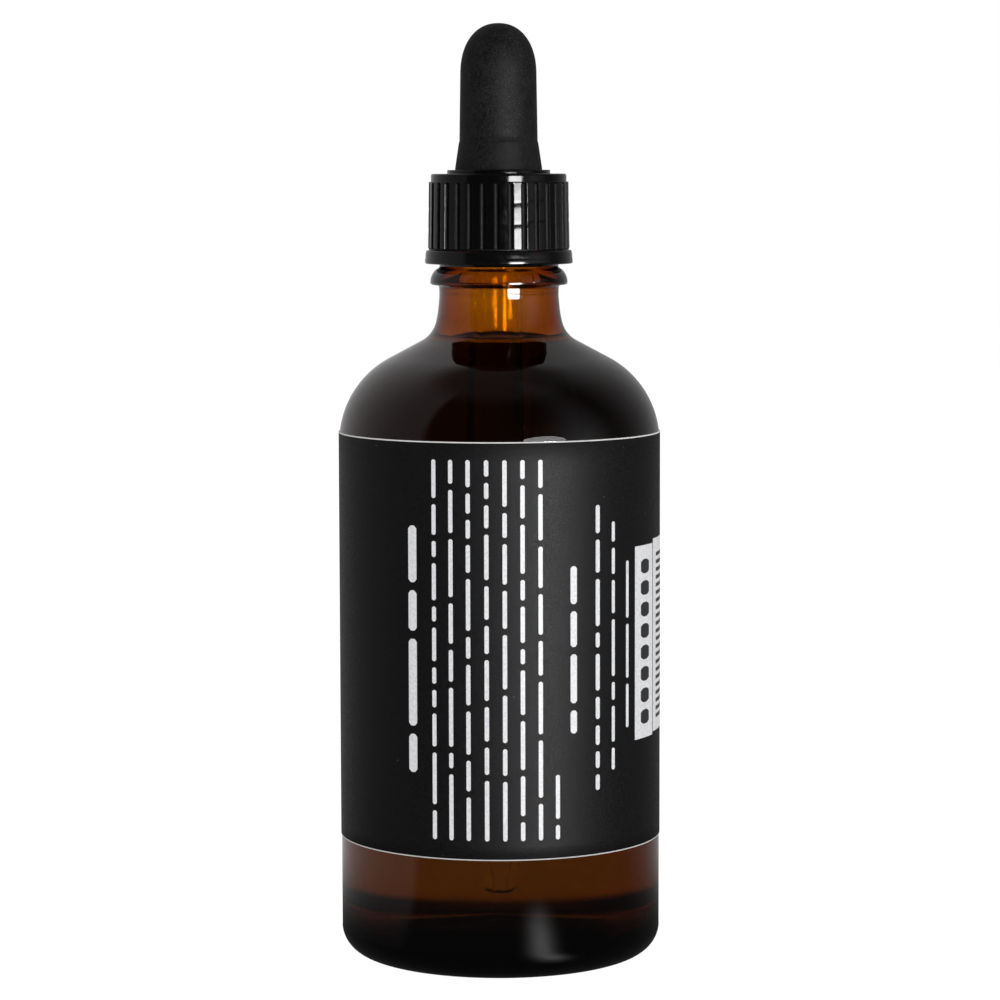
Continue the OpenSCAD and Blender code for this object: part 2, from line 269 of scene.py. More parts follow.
# A small card near the shoulder gives the pale spot above the label. The table and the object
# are lit by the world and by a wide box that no gloss shows.
low_card = soft_box(
    "low_card", 29.5, distance=0.121, height=0.0935, width=0.062, tall=0.018, radiance=3.2, shape="ELLIPSE"
)
low_card.visible_diffuse = False
low_card.visible_transmission = False
wide = soft_box("wide_soft_box", 30, distance=1.2, height=0.5, width=0.8, tall=0.6, radiance=3.8)
wide.visible_glossy = False

# Glass bottle
# Blown in a two-part mould from amber soda-lime glass, and clear and glossy as it left it. The
# mould leaves two faint upright seams, and the inside, which touches no mould, is a little wavy.
mm = 0.001


def reach(node_name, corner, axis):
    """How far a CAD node reaches along an axis, in millimetres. Corner 0 is its lowest, 1 its highest."""
    return round(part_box(node_name)[corner][axis] / mm, 2)


# Body, wall, inside floor, heel and push-up
body_r = reach("glass_bottle", 1, 0)
side_top = 75.0
wall_t = 2.6
base_t = 3.9
floor_rise = 2.7
floor_corner_r = 3.6
floor_peak_r = 2.0
floor_z = base_t + floor_rise
heel_r = 4.2
push_up_r = 15.5
push_up_h = 2.4
push_up_steps = 10

# Shoulder, neck and bore, whose curves are told by their radii and by where one passes into another
shoulder_r = 13.7
shoulder_slope = 28
neck_fillet_r = 4.3
neck_r = 8.65
waist_r = 14.5
waist_blend = 14.3
bead_curve_r = 6.5
bore_curve_r = 42
bore_blend = 5
bore_r = 6.1

# Finish, from the carrying bead up past the land of the tamper ring and the thread to the lip
bead_r = 9.95
bead_z = 97.65
bead_low = bead_z + 0.1
bead_top = 100.05
bead_corner = 0.35
under_bead_r = 0.36
land_r = 8.95
catch_r = 9.25
catch_z = 101.97
core_r = 8.05
ring_top = 102.75
lip_r = 0.7
lip_z = 111.65
thread_pitch = 3.0
thread_turns = 1.5
thread_z = 104.75
thread_half_top = 0.4
thread_half_root = 0.85
thread_step = 0.15
thread_run_out = 0.2
thread_least = 0.1

# Seams, waves and other small unevenness. seam_half is half a seam's width, in degrees times the
# radius. Three faint rings that the neck's mould leaves under the bead have a height, a width and
# a share each.
seam_angles = (-59.8, 120.2)
seam_h = 0.035
seam_half = 10
seam_clearance = 1.6
wave_h = 0.035
swelling = 0.066
swelling_low = 87
swelling_rise = 6
swelling_top = 96.1
swelling_fall = 1.6
pinch = 0.065
pinch_h = 1.8
pinch_end = 0.35
neck_rings = ((96.6, 0.09, 1.0), (97.1, 0.09, 0.4), (96.05, 0.08, 0.6))
neck_ring_h = 0.018

# The level that the bottle is filled to, how far above it the creeping liquid wets the glass, and
# how strongly glass and bitters bend light
fill_z = reach("bitters", 1, 2)
wet_above_fill = 0.6
glass_index = 1.52
bitters_index = 1.36


def arc(centre, r, a, b, steps=16):
    """Points of an arc from angle a to angle b, in degrees."""
    turns = [radians(a + (b - a) * i / steps) for i in range(steps + 1)]
    return [(centre[0] + r * cos(t), centre[1] + r * sin(t)) for t in turns]


def line(p, q, step=3.0):
    """Points on the way from p to q, without q itself."""
    count = max(1, round(hypot(q[0] - p[0], q[1] - p[1]) / step))
    return [(p[0] + (q[0] - p[0]) * i / count, p[1] + (q[1] - p[1]) * i / count) for i in range(count)]


def shoulder_end(side_r, r):
    """Where the round shoulder passes into its straight slope."""
    t = radians(shoulder_slope)
    return (side_r - r + r * sin(t), side_top + r * cos(t))


def fillet_z(p, x, r):
    """Height of a fillet's centre at x that stands r clear of the slope through p."""
    t = radians(shoulder_slope)
    return p[1] + (r - (x - p[0]) * sin(t)) / cos(t)


def even_turn(count):
    """The angles of a full turn in equal steps."""
    return [360 * i / count for i in range(count)]


def apart(a, b):
    """The angle between two directions, in degrees."""
    return abs((a - b + 180) % 360 - 180)


def piece(name, bm, material, node_name, body, crease=35):
    """Makes the object from its mesh, gives it its material, and hands it to the frame."""
    bmesh.ops.recalc_face_normals(bm, faces=bm.faces)
    for face in bm.faces:
        face.smooth = True
    mesh = bpy.data.meshes.new(name)
    bm.to_mesh(mesh)
    bm.free()
    mesh.set_sharp_from_angle(angle=radians(crease))
    mesh.materials.append(material)
    made = bpy.data.objects.new(name, mesh)
    bpy.context.scene.collection.objects.link(made)
    if node_name:
        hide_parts(node_name)
    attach(made, body)
    return made


def noise(tree, spot, scale, detail, roughness=0.5):
    """A cloudy pattern around one half."""
    links = [("Vector", spot), ("Scale", scale), ("Detail", detail), ("Roughness", roughness)]
    return node(tree, "ShaderNodeTexNoise", links).outputs[0]


def bumps(tree, height, strength, distance, under=None):
    """Turns a height into bumps, which may lie over others."""
    links = [("Height", height), ("Strength", strength), ("Distance", distance)]
    if under is not None:
        links.append(("Normal", under))
    return node(tree, "ShaderNodeBump", links).outputs[0]


def clear_surface(tree, ior, **sockets):
    """A perfectly smooth clear surface."""
    values = [("Base Color", white), ("Transmission Weight", 1.0), ("Roughness", 0.0), ("IOR", ior)]
    return node(tree, "ShaderNodeBsdfPrincipled", values + list(sockets.items()))


def two_faced(tree, touching, free_side, touching_side, volume=None):
    """A clear material that bends light one way on its free faces, and another where it touches
    a clear neighbour."""
    links = [("Surface", mixed(tree, touching, free_side, touching_side).outputs[0])]
    if volume:
        links.append(("Volume", volume.outputs[0]))
    node(tree, "ShaderNodeOutputMaterial", links)


def turn(bm, outline, angles, shift=None, closed=False, touches=None):
    """Turns an outline about the bottle's axis. shift moves a point outwards, from (r, z, angle),
    and touches says which steps of the outline touch a clear neighbour."""
    touching = bm.faces.layers.float.new("touching")
    rows = []
    for i, (r, z) in enumerate(outline):
        if r < 1e-6:
            rows.append([bm.verts.new((0, 0, z * mm))])
            continue
        row = []
        for a in angles:
            out = r + (shift(i, r, z, a) if shift else 0)
            row.append(bm.verts.new((out * cos(radians(a)) * mm, out * sin(radians(a)) * mm, z * mm)))
        rows.append(row)
    for step, (low, high) in enumerate(zip(rows, rows[1:] + rows[:1] if closed else rows[1:])):
        for j in range(len(angles)):
            k = (j + 1) % len(angles)
            corners = [low[j % len(low)], low[k % len(low)], high[k % len(high)], high[j % len(high)]]
            face = bm.faces.new(dict.fromkeys(corners))
            face[touching] = 1.0 if touches and touches(step) else 0.0


def thread_share(z, a):
    """How much of the thread's full height stands at height z and angle a, from 0 to 1."""
    best = 0.0
    for lap in (-1, 0, 1, 2):
        along = (a % 360) / 360 + lap
        if not 0 <= along <= thread_turns:
            continue
        off = abs(z - thread_z - thread_pitch * along)
        share = max(0.0, min(1.0, (thread_half_root - off) / (thread_half_root - thread_half_top)))
        from_end = min(along, thread_turns - along)
        ends = max(thread_least, min(1.0, from_end / thread_run_out))
        best = max(best, share * share * (3 - 2 * share) * ends)
    return best


slope_start = shoulder_end(body_r, shoulder_r)
fillet_x = neck_r + waist_r - (waist_r - neck_fillet_r) * cos(radians(waist_blend))
fillet_centre = (fillet_x, fillet_z(slope_start, fillet_x, neck_fillet_r))
waist_z = fillet_centre[1] + (waist_r - neck_fillet_r) * sin(radians(waist_blend))
waist_top = degrees(asin((bead_low - under_bead_r - waist_z) / bead_curve_r))
waist_top_r = neck_r + bead_curve_r * (1 - cos(radians(waist_top)))
push_up_ball = (push_up_r**2 + push_up_h**2) / (2 * push_up_h)
bead_slope_h = bead_top - 0.08 - bead_low - bead_corner
bead_slope_w = bead_r - land_r - 0.17
bead_slope_r = (bead_slope_w**2 + bead_slope_h**2) / (2 * bead_slope_w)
bead_slope_turn = degrees(atan2(bead_slope_h, bead_slope_r - bead_slope_w))

push_up = []
for i in range(push_up_steps):
    r = push_up_r * i / push_up_steps
    push_up.append((r, push_up_h - push_up_ball + sqrt(push_up_ball**2 - r * r)))
outside = (
    push_up
    + [(push_up_r, 0.02), (push_up_r + 0.4, 0.0)]
    + arc((body_r - heel_r, heel_r), heel_r, -90, 0)
    + line((body_r, heel_r + 2), (body_r, side_top))
    + arc((body_r - shoulder_r, side_top), shoulder_r, 0, 90 - shoulder_slope, 30)
    + arc(fillet_centre, neck_fillet_r, 270 - shoulder_slope, 180 + waist_blend, 20)
    + arc((neck_r + waist_r, waist_z), waist_r, 180 + waist_blend, 180, 40)[1:]
    + arc((neck_r + bead_curve_r, waist_z), bead_curve_r, 180, 180 - waist_top, 24)[1:]
    + arc((waist_top_r + under_bead_r, bead_low - under_bead_r), under_bead_r, 180, 90, 8)[1:]
    + arc((bead_r - bead_corner, bead_low + bead_corner), bead_corner, -90, 0, 6)
    + arc((bead_r - bead_slope_r, bead_low + bead_corner), bead_slope_r, 0, bead_slope_turn, 8)[1:]
    + [(land_r - 0.05, bead_top + 0.05), (land_r - 0.27, bead_top + 0.2)]
    + [(land_r - 0.37, bead_top + 0.4), (land_r - 0.3, bead_top + 0.62), (land_r, catch_z)]
    + [(catch_r, catch_z + 0.15), (catch_r, ring_top - 0.3), (core_r, ring_top)]
)
thread_first = len(outside)
outside += line((core_r, ring_top + 0.15), (core_r, lip_z - lip_r), thread_step)
thread_last = len(outside)
outside += arc((core_r - lip_r, lip_z - lip_r), lip_r, 0, 90, 6)

inner_r = body_r - wall_t
hollow_curve_r = shoulder_r - wall_t
hollow_turn_r = neck_fillet_r + wall_t


def hollow(gap, top):
    """The bottle's hollow, from its floor up to height top, drawn smaller all round by gap."""
    side_r = inner_r - gap
    curve_r = hollow_curve_r - gap
    turn_r = hollow_turn_r + gap
    corner_r = floor_corner_r - gap
    lean = atan2(floor_rise, inner_r - floor_corner_r)
    foot = (side_r - corner_r - corner_r * sin(lean), base_t + floor_corner_r - corner_r * cos(lean))
    peak_z = floor_z + gap - floor_peak_r * tan(lean)
    end = shoulder_end(side_r, curve_r)
    bore_x = bore_r + bore_curve_r
    turn_x = bore_x - (bore_curve_r + gap - turn_r) * cos(radians(bore_blend))
    centre = (turn_x, fillet_z(end, turn_x, turn_r))
    bore_z = centre[1] + (bore_curve_r + gap - turn_r) * sin(radians(bore_blend))
    points = (
        [(0.0, peak_z + tan(lean)), (0.5, peak_z + 0.94 * tan(lean)), (1.2, peak_z + 0.64 * tan(lean))]
        + line((floor_peak_r, peak_z), foot, 2)
        + arc((side_r - corner_r, base_t + floor_corner_r), corner_r, -90 - degrees(lean), 0, 12)
        + line((side_r, base_t + floor_corner_r + 2), (side_r, side_top))
        + arc((side_r - curve_r, side_top), curve_r, 0, 90 - shoulder_slope, 24)
        + arc(centre, turn_r, 270 - shoulder_slope, 180 + bore_blend, 24)
        + arc((bore_x, bore_z), bore_curve_r + gap, 180 + bore_blend, 180, 8)[1:]
        + line((bore_r - gap, bore_z + 1), (bore_r - gap, top), 1.0)
    )
    return [p for p in points if p[1] < top - 1e-6]


inside = hollow(0.0, lip_z - lip_r) + arc((bore_r + lip_r, lip_z - lip_r), lip_r, 180, 90, 6)
inside_first = len(outside)
wall = outside + inside[::-1]


def glass_shift(i, r, z, a):
    """Slow waves on the inside, the thread on the finish, a pinch under the bead, a faint swelling
    of the shoulder and the neck, and mould seams elsewhere."""
    if i >= inside_first:
        if z < floor_z + 1 or z > bead_top:
            return 0.0
        t = radians(a)
        wave = sin(3 * t + 0.07 * z + 1.3) + 0.7 * sin(5 * t - 0.05 * z) + 0.5 * sin(8 * t + 0.11 * z + 2)
        return wave_h * wave
    if thread_first <= i < thread_last:
        return (land_r - core_r) * thread_share(z, a)
    if z < 1.0 or z > bead_top:
        return 0.0
    rise = z - waist_z
    if 0 < rise < pinch_h and r < neck_r + 0.6:
        return -pinch * rise * rise * min(1.0, (pinch_h - rise) / pinch_end)
    if swelling_low < z < swelling_top:
        below = min(1.0, (swelling_top - z) / swelling_fall)
        return swelling * below * (2 - below) * min(1.0, (z - swelling_low) / swelling_rise)
    off = min(apart(a, s) for s in seam_angles)
    seam = seam_h * max(0.0, 1 - off * r / seam_half) ** 2
    return seam if r < body_r - 0.01 else seam - seam_h


seam_steps = (-1.2, -0.8, -0.5, -0.25, 0, 0.25, 0.5, 0.8, 1.2)
glass_angles = [a for a in even_turn(192) if all(apart(a, s) > seam_clearance for s in seam_angles)]
glass_angles = sorted(glass_angles + [(s + d) % 360 for s in seam_angles for d in seam_steps])

amber_glass, tree = new_material("amber_glass")
spot = own_spot(tree)
ripple = bumps(tree, noise(tree, spot, 140.0, 2.0), 0.03, 0.0006)
height = split(tree, spot)[2]
mould_rings = 0.0
for z, width, share in neck_rings:
    one_ring = sums(tree, "MULTIPLY", hump(tree, height, z * mm, width * mm), share)
    mould_rings = sums(tree, "ADD", mould_rings, one_ring)
skin = bumps(tree, mould_rings, 1.0, neck_ring_h * mm, under=ripple)
dry_glass = clear_surface(tree, glass_index, Normal=skin)
wet_glass = clear_surface(tree, glass_index / bitters_index, Normal=skin)
stain = node(tree, "ShaderNodeVolumeAbsorption", [("Color", (0.82, 0.655, 0.0, 1)), ("Density", 1500.0)])
touching = node(tree, "ShaderNodeAttribute", attribute_name="touching").outputs["Fac"]
two_faced(tree, touching, dry_glass, wet_glass, stain)

wet_steps = [i >= inside_first and z < fill_z + wet_above_fill for i, (r, z) in enumerate(wall)]
bm = bmesh.new()
turn(bm, wall, glass_angles, glass_shift, touches=lambda step: wet_steps[step])
glass_bottle = piece("amber_glass_bottle", bm, amber_glass, "glass_bottle", "bottle")

# Bitters in the bottle
# A clear dark brown liquid that fills the bottle to the foot of the neck. It creeps up the
# glass and the pipette where it touches them, and closes round the pipette that stands in it.
creep_h = 0.9
creep_reach = 0.7
tube_creep_h = 0.6
tube_creep_reach = 0.5
side_above_fill = 0.7
surface_dip = 0.25
surface_inset = 0.04
pipette_r = 3.5
tip_r = 2.3
tip_z = 9.5
taper_top = 21.8
tube_levels = (taper_top, taper_top + 1, 40, 60, 80)
surface_steps = 24

# The liquid's sides lie this far inside the glass, so that no film of air shows between them
touch = -0.1


def pipette_outside(gap, top):
    """The pipette's outside from the middle of its tip up to height top, wider all round by gap."""
    return (
        arc((0, tip_z + tip_r), tip_r + gap, -90, 10, 12)[1:]
        + line((tip_r + gap + 0.05, tip_z + tip_r + 1), (pipette_r + gap, taper_top), 1.5)
        + [(pipette_r + gap, z) for z in tube_levels if z < top - 2]
    )


liquid_side = hollow(touch, fill_z + side_above_fill)
glass_side_r = liquid_side[-1][0]
surface = []
for i in range(surface_steps + 1):
    inward = (pipette_r + touch - glass_side_r + surface_inset) * i / surface_steps
    r = glass_side_r - surface_inset + inward
    side_climb = creep_h * exp(-(glass_side_r + touch - r) / creep_reach)
    tube_climb = tube_creep_h * exp(-(r - pipette_r - touch) / tube_creep_reach)
    surface.append((r, fill_z - surface_dip + min(side_climb + tube_climb, creep_h)))
surface_first = len(liquid_side) - 1
surface_last = surface_first + len(surface)
liquid_outline = liquid_side + surface + pipette_outside(touch, fill_z)[::-1] + [(0.0, tip_z - touch)]

bitters_liquid, tree = new_material("bitters_liquid")
free_liquid = clear_surface(tree, bitters_index)
against_glass = node(tree, "ShaderNodeBsdfTransparent")
brown = node(tree, "ShaderNodeVolumeAbsorption", [("Color", (0.62, 0.60, 0.40, 1)), ("Density", 100.0)])
touching = node(tree, "ShaderNodeAttribute", attribute_name="touching").outputs["Fac"]
two_faced(tree, touching, free_liquid, against_glass, brown)

bm = bmesh.new()
turn(bm, liquid_outline, even_turn(144), touches=lambda i: not surface_first <= i < surface_last)
bitters = piece("bitters_in_bottle", bm, bitters_liquid, "bitters", "bottle")

# Label
# One strip of matte black printed paper that goes right round and laps over itself at the back.
# Its cut edges show as pale lines. The print is plain bars in white ink, set sideways.
label_low = reach("label", 0, 2)
label_high = reach("label", 1, 2)
label_in = 23.2
label_out = 23.375
label_edge = 0.03
lap_w = 5.0
lap_in = label_out - 0.005
lap_out = label_out + 0.09


def colours(tree, share, a, b):
    """The colour a where share is 0, and b where it is 1."""
    return node(tree, "ShaderNodeMix", [(0, share), (6, a), (7, b)], data_type="RGBA").outputs[2]


def scaled(tree, colour, share):
    """A colour made lighter or darker."""
    return node(tree, "ShaderNodeVectorMath", [(0, colour), ("Scale", share)], operation="SCALE").outputs[0]


def opaque(tree, colour, roughness, *others):
    """The material's surface. others are further (socket, value or output) pairs."""
    values = [("Base Color", colour), ("Roughness", roughness), *others]
    surface = node(tree, "ShaderNodeBsdfPrincipled", values)
    node(tree, "ShaderNodeOutputMaterial", [("Surface", surface.outputs[0])])


label_paper, tree = new_material("label_paper")
spot = own_spot(tree)
label_middle = (label_low + label_high) / 2 * mm
half_h = (label_high - label_low) / 2 * mm
from_middle = sums(tree, "ABSOLUTE", sums(tree, "SUBTRACT", split(tree, spot)[2], label_middle))
cut_edge = ramp(tree, from_middle, half_h - 0.19 * mm, half_h - 0.15 * mm)
grain = noise(tree, spot, 5200.0, 3.0, 0.7)
speck = node(tree, "ShaderNodeTexVoronoi", [("Vector", spot), ("Scale", 260.0)])
specks = ramp(tree, speck.outputs["Distance"], 0.045, 0.02)
black = colours(tree, specks, (0.0042, 0.0041, 0.0048, 1), (0.035, 0.035, 0.039, 1))
black = scaled(tree, black, ramp(tree, grain, 0.35, 0.65, 0.6, 1.9))
opaque(
    tree,
    colours(tree, cut_edge, black, (0.8, 0.79, 0.78, 1)),
    ramp(tree, grain, 0.35, 0.65, 0.42, 0.64),
    ("IOR", 1.45),
    ("Specular IOR Level", 0.18),
    ("Normal", bumps(tree, grain, 0.6, 0.06 * mm)),
)

# The glued side has a painted glow, stronger on the left: it shines faintly by itself, standing in for
# light that reaches it from outside.
glued_side, tree = new_material("label_glued_side")
spot = own_spot(tree)
glue_tone = colours(tree, noise(tree, spot, 900.0, 2.0), (0.42, 0.36, 0.3, 1), (0.5, 0.43, 0.36, 1))
painted_glow = ramp(tree, split(tree, spot)[0], -0.002, 0.006, 0.07, 0.01)
opaque(tree, glue_tone, 0.8, ("Emission Color", (1, 0.5, 0.4, 1)), ("Emission Strength", painted_glow))

bm = bmesh.new()
wrap = (
    [(label_in, label_low), (label_out - label_edge, label_low), (label_out, label_low + label_edge)]
    + line((label_out, label_low + 2), (label_out, label_high - 2), 2.0)
    + [(label_out, label_high - label_edge), (label_out - label_edge, label_high), (label_in, label_high)]
)
turn(bm, wrap, even_turn(240), closed=True)
label = piece("paper_label", bm, label_paper, "label", "bottle", crease=50)
label.data.materials.append(glued_side)
for face in label.data.polygons:
    if all(hypot(*label.data.vertices[v].co.xy) < (label_in + 0.01) * mm for v in face.vertices):
        face.material_index = 1


def patch(bm, s_low, s_high, z_low, z_high, r_low, r_high, round_by=0.0, middle=-90.0):
    """A thin curved slab on the label. s is the distance round the bottle from the photographed
    side's middle, to the right, and round_by rounds its two ends."""
    steps = 4 if round_by else max(1, round((s_high - s_low) / 0.8))
    cols = []
    half = (s_high - s_low) / 2
    for i in range(steps + 1):
        s = s_low + (s_high - s_low) * i / steps
        inset = 0.0
        if round_by:
            off = abs(s - (s_low + half)) / half
            inset = round_by * (1 - sqrt(max(0.0, 1 - off * off)))
        t = radians(middle) + s / body_r
        foot = z_low + inset
        head = z_high - inset
        corners = ((r_low, foot), (r_high, foot), (r_high, head), (r_low, head))
        cols.append([bm.verts.new((r * cos(t) * mm, r * sin(t) * mm, z * mm)) for r, z in corners])
    for p, q in zip(cols, cols[1:]):
        for k in range(4):
            m = (k + 1) % 4
            bm.faces.new((p[k], q[k], q[m], p[m]))
    bm.faces.new(cols[0])
    bm.faces.new(cols[-1][::-1])


bm = bmesh.new()
patch(bm, -lap_w / 2, lap_w / 2, label_low, label_high, lap_in, lap_out, middle=90.0)
lap = piece("label_lap", bm, label_paper, None, "bottle", crease=50)

# Printed bars and fields on the label
# A film of ink, 12 micrometres proud of the paper. The bars run up the bottle in rows, and
# two white fields at the right have a second print on them in black.
ink_low = label_out - 0.004
ink_high = label_out + 0.012
black_ink_low = ink_high - 0.002
black_ink_high = ink_high + 0.006
row_low = 20.4
row_high = 74.1
row_t = 0.62
row_longest = 8.5
shortest_share = 0.22
least_bar = 2.0
least_room = 0.5
bar_gap = 0.65
gap_per_thickness = 0.35
field_low = 33.1
field_high = 60.9
narrow_field = (22.54, 28.36)
wide_field = (28.62, 40.5)
wide_field_low = field_low + 0.4
wide_field_high = field_high + 0.6
block_low = field_low + 2.0
block_span = (24.2, 26.9)
block_count = 8
block_h = 2.1
block_pitch = 3.1
stripe_low = field_low + 2.2
stripe_span = (30.2, 39.4)
stripe_count = 22
stripe_h = 0.55
stripe_pitch = 1.12


def printing_ink(name, thin, full, worn=None):
    """Matte ink whose tone follows the paper's fibres, within the worn range where it has one."""
    made, tree = new_material(name)
    wear = noise(tree, own_spot(tree), 2600.0, 2.0)
    if worn:
        wear = ramp(tree, wear, *worn)
    opaque(tree, colours(tree, wear, thin, full), 0.5)
    return made


white_ink = printing_ink("white_ink", (0.8, 0.8, 0.82, 1), (0.92, 0.92, 0.94, 1), worn=(0.35, 0.6))
black_ink = printing_ink("black_ink", (0.012, 0.012, 0.014, 1), (0.03, 0.03, 0.033, 1))

# Each row's middle round the bottle, bar thickness, lowest and highest end, and longest bar
rows = (
    [(-12.86, 1.35, 29.7, 64.7, 17.0)]
    + [(s, row_t, row_low, row_high, row_longest) for s in (-9.45, -6.95, -4.45, -1.85, 0.70, 3.20, 5.75)]
    + [(8.25, row_t, row_low, 29.6, row_longest), (10.71, 1.0, 35.3, 59.0, 7.0)]
    + [(14.70, 0.72, 26.9, 67.4, 9.0), (17.62, 0.6, 29.5, 64.9, 9.0), (20.64, 0.6, 35.2, 59.1, 9.0)]
)
chance = random.Random(7)
bm = bmesh.new()
for s, thick, low, high, longest in rows:
    z = high
    while z > low + least_room:
        bar = min(chance.uniform(shortest_share, 1.0) * longest, z - low)
        if z - low - bar < least_bar:
            bar = z - low
        patch(bm, s - thick / 2, s + thick / 2, z - bar, z, ink_low, ink_high, round_by=thick / 3)
        z -= bar + thick * gap_per_thickness + bar_gap
print_bars = piece("label_print", bm, white_ink, None, "bottle", crease=50)

bm = bmesh.new()
patch(bm, *narrow_field, field_low, field_high, ink_low, ink_high)
patch(bm, *wide_field, wide_field_low, wide_field_high, ink_low, ink_high)
panels = piece("label_white_fields", bm, white_ink, None, "bottle", crease=50)

bm = bmesh.new()
for i in range(block_count):
    z = block_low + i * block_pitch
    patch(bm, *block_span, z, z + block_h, black_ink_low, black_ink_high, round_by=0.4)
for i in range(stripe_count):
    z = stripe_low + i * stripe_pitch
    patch(bm, *stripe_span, z, z + stripe_h, black_ink_low, black_ink_high)
stripes = piece("label_field_marks", bm, black_ink, None, "bottle", crease=50)

# Tamper ring
# A thin ring moulded with the cap in black polypropylene. It hooks under a bead on the neck, and
# eight thin bridges join it to the cap until the first opening.
ring_z = 100.80
ring_r = 10.7
ring_top_r = 10.55
ring_edge = 0.22
hook_r = 9.15
bridge_count = 8
bridge_w = 0.5
bridge_h = 0.35
bridge_r = catch_r + 0.45
bridge_z = ring_top - 0.025


def polypropylene(name, haze_scale, dark, pale, roughness, specular, flow_marks=False):
    """Black moulded plastic. A fine haze sets its tone and its gloss, within the range of
    roughness, and the glossy kind has slow flow marks and faint bumps too."""
    made, tree = new_material(name)
    spot = own_spot(tree)
    haze = noise(tree, spot, haze_scale, 4.0)
    tone = haze
    others = [("IOR", 1.5), ("Specular IOR Level", specular)]
    if flow_marks:
        tone = noise(tree, spot, 150.0, 2.0)
        others.append(("Normal", bumps(tree, haze, 0.08, 0.04 * mm)))
    opaque(tree, colours(tree, tone, dark, pale), ramp(tree, haze, 0.3, 0.7, *roughness), *others)
    return made


satin_plastic = polypropylene(
    "satin_black_plastic", 1200.0, (0.002, 0.002, 0.0022, 1), (0.004, 0.004, 0.0044, 1), (0.11, 0.17), 0.42
)

ring_outline = (
    [(hook_r, ring_z)]
    + arc((ring_r - ring_edge, ring_z + ring_edge), ring_edge, -90, 0, 5)
    + [(ring_r, ring_z + 0.3), (ring_r - 0.005, ring_z + 0.62), (ring_r - 0.03, ring_z + 0.74)]
    + [(ring_r - 0.06, ring_z + 0.9), (ring_r - 0.07, ring_z + 0.98), (ring_r - 0.075, ring_z + 1.38)]
    + [(ring_r - 0.09, ring_z + 1.46)]
    + arc((ring_top_r - ring_edge, ring_top - ring_edge), ring_edge, 0, 90, 5)
    + [(catch_r + 0.2, ring_top), (catch_r + 0.2, catch_z - 0.2), (hook_r, catch_z - 0.4)]
)
bm = bmesh.new()
turn(bm, ring_outline, even_turn(160), closed=True)
for i in range(bridge_count):
    a = radians(360 / bridge_count * (i + 0.5))
    bridge = bmesh.ops.create_cube(bm, size=1.0)["verts"]
    bmesh.ops.scale(bm, verts=bridge, vec=(bridge_w * mm, bridge_w * mm, bridge_h * mm))
    bmesh.ops.translate(bm, verts=bridge, vec=(bridge_r * mm, 0, bridge_z * mm))
    bmesh.ops.rotate(bm, verts=bridge, cent=(0, 0, 0), matrix=Matrix.Rotation(a, 3, "Z"))
ring = piece("tamper_ring_band", bm, satin_plastic, "tamper_ring", "tamper_ring")

# Screw cap
# Injection moulded in the same black polypropylene, but glossy, with round-bottomed grip grooves.
# The thread inside leaves faint sink marks that cross the lands, one turn of the thread apart.
cap_low = 102.85
cap_r = 10.25
cap_rib_top_r = 10.10
cap_foot_r = 10.15
cap_foot_h = 0.2
cap_bore_r = 9.15
cap_thread_h = 0.3
cap_roof = 112.65
cap_top = 113.75
rib_top = 112.55
rib_rows = 100
bore_rows = 60
band_r = 9.8
band_edge = 0.3
rim_r = 7.45
rim_top = 114.30
rim_edge = 0.12
hole_r = 6.5
groove_count = 32
groove_half = 0.42
groove_first = -80.6
sink_z = 106.55
sink_h = 0.03
sink_above = 0.12
sink_below = 0.5
sink_from_foot = 1.2
sink_from_top = 1.6
sink_fade = 0.6

# Where a row has its points: across a groove, and along a land, whose edges drop a little
groove_cols = (-0.95, -0.8, -0.6, -0.4, -0.2, 0.0, 0.2, 0.4, 0.6, 0.8, 0.95)
land_cols = (0.0, 0.028, 0.06, 0.095, 0.3, 0.5, 0.7, 0.9, 0.985, 1.0)
land_drop = {0.0: 0.11, 0.028: 0.0324, 0.06: 0.0075, 1.0: 0.03}

black_plastic = polypropylene(
    "black_plastic",
    900.0,
    (0.002, 0.002, 0.0022, 1),
    (0.0035, 0.0035, 0.0038, 1),
    (0.08, 0.16),
    0.32,
    flow_marks=True,
)
# A rougher, darker copy of the black plastic, used as painted shade in the grooves, on the foot and on the
# lands' rounded edges.
painted_shade_plastic = polypropylene(
    "black_plastic_painted_shade", 1500.0, (0.0015, 0.0015, 0.0017, 1), (0.003, 0.003, 0.0033, 1), (0.5, 0.65), 0.15
)


def sink(z, a):
    """Depth of the sink marks at height z and angle a."""
    climbed = thread_pitch * (((a + 90) % 360) / 360)
    off = (z - sink_z - climbed + thread_pitch / 2) % thread_pitch - thread_pitch / 2
    width = sink_above if off > 0 else sink_below
    above_foot = min(1.0, max(0.0, (z - cap_low - sink_from_foot) / sink_fade))
    below_top = min(1.0, max(0.0, (rib_top - sink_from_top - z) / sink_fade))
    return sink_h * exp(-((off / width) ** 2)) * above_foot * below_top


def cap_row(bm, r, z, half, ribbed=False, thread_h=0.0):
    """One row of the cap's mesh at radius r. Its points are spaced for grooves half wide each side
    of their middles, which a ribbed row has, with sink marks. thread_h is the height of a thread."""
    row = []
    period = 2 * pi * r / groove_count
    for g in range(groove_count):
        middle = radians(groove_first + 360 * g / groove_count)
        spots = [(half * sin(k * pi / 2), half * cos(k * pi / 2)) for k in groove_cols]
        edge_share = min(1.0, half / groove_half)
        spots += [(half + f * (period - 2 * half), land_drop.get(f, 0.0) * edge_share) for f in land_cols]
        for s, depth in spots:
            a = middle + s / r
            out = r
            if ribbed:
                out = r - depth - sink(z, degrees(a))
            elif thread_h:
                out = r + thread_h * thread_share(z, degrees(a))
            row.append(bm.verts.new((out * cos(a) * mm, out * sin(a) * mm, z * mm)))
    return row


